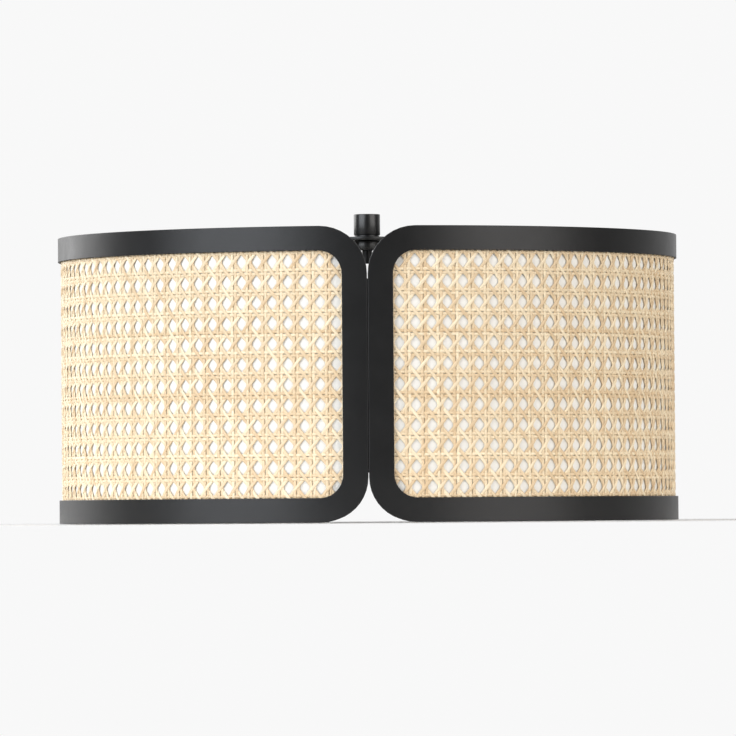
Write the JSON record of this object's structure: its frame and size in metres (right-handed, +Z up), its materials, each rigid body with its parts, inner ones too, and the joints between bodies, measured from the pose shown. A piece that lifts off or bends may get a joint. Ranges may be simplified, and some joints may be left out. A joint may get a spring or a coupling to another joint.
{
  "type": "lamp shade",
  "caption": "Drum lamp shade of woven cane in two half-round black metal frames, with a crossbar fitter and a screw knob on top.",
  "frame": {"origin": "centre of the drum's lower rim, in the plane it stands on", "axes": "+Z up along the drum's axis; the front seam faces -Y and the crossbar lies along X"},
  "size_m": [0.55, 0.55, 0.2736],
  "materials": {
    "black_coating": "satin black powder coating",
    "natural_cane": "natural split cane, six-way weave, unvarnished",
    "white_lining": "matt off-white woven lining",
    "zinc_plating": "bright zinc plating"
  },
  "bodies": {
    "shade": {"outer_frame_left": "black_coating", "outer_frame_right": "black_coating", "cane_panel_left": "natural_cane", "cane_panel_right": "natural_cane", "liner_left": "white_lining", "liner_right": "white_lining", "inner_frame_left": "black_coating", "inner_frame_right": "black_coating", "seam_plate_front": "black_coating", "seam_plate_back": "black_coating", "nut_left_top_1": "zinc_plating", "nut_left_top_2": "zinc_plating", "nut_left_top_3": "zinc_plating", "nut_left_top_4": "zinc_plating", "nut_left_bar_1": "zinc_plating", "nut_left_bar_2": "zinc_plating", "nut_left_bottom_1": "zinc_plating", "nut_left_bottom_2": "zinc_plating", "nut_left_bottom_3": "zinc_plating", "nut_left_bottom_4": "zinc_plating", "nut_left_seam_front_1": "zinc_plating", "nut_left_seam_front_2": "zinc_plating", "nut_left_seam_back_1": "zinc_plating", "nut_left_seam_back_2": "zinc_plating", "nut_right_top_1": "zinc_plating", "nut_right_top_2": "zinc_plating", "nut_right_top_3": "zinc_plating", "nut_right_top_4": "zinc_plating", "nut_right_bar_1": "zinc_plating", "nut_right_bar_2": "zinc_plating", "nut_right_bottom_1": "zinc_plating", "nut_right_bottom_2": "zinc_plating", "nut_right_bottom_3": "zinc_plating", "nut_right_bottom_4": "zinc_plating", "nut_right_seam_front_1": "zinc_plating", "nut_right_seam_front_2": "zinc_plating", "nut_right_seam_back_1": "zinc_plating", "nut_right_seam_back_2": "zinc_plating", "crossbar": "black_coating"},
    "fitter": {"fitter_collar": "black_coating", "fitter_stud": "black_coating"},
    "knob_lift": {"knob_washer": "black_coating"},
    "knob": {"knob": "black_coating"}
  },
  "joints": [
    {"name": "swivel", "type": "hinge", "parent": "shade", "child": "fitter", "pos_m": [0, 0, 0.2417], "axis": [0, 0, 1], "continuous": true},
    {"name": "knob_rise", "type": "slide", "parent": "fitter", "child": "knob_lift", "axis": [0, 0, 1], "range_m": [0, 0.003]},
    {"name": "knob_turn", "type": "hinge", "parent": "knob_lift", "child": "knob", "pos_m": [0, 0, 0.264], "axis": [0, 0, 1], "range_deg": [0, 1080]}
  ],
  "couplings": [
    {"joint": "knob_turn", "follows": "knob_rise", "rad_per_m": 6283.2}
  ]
}
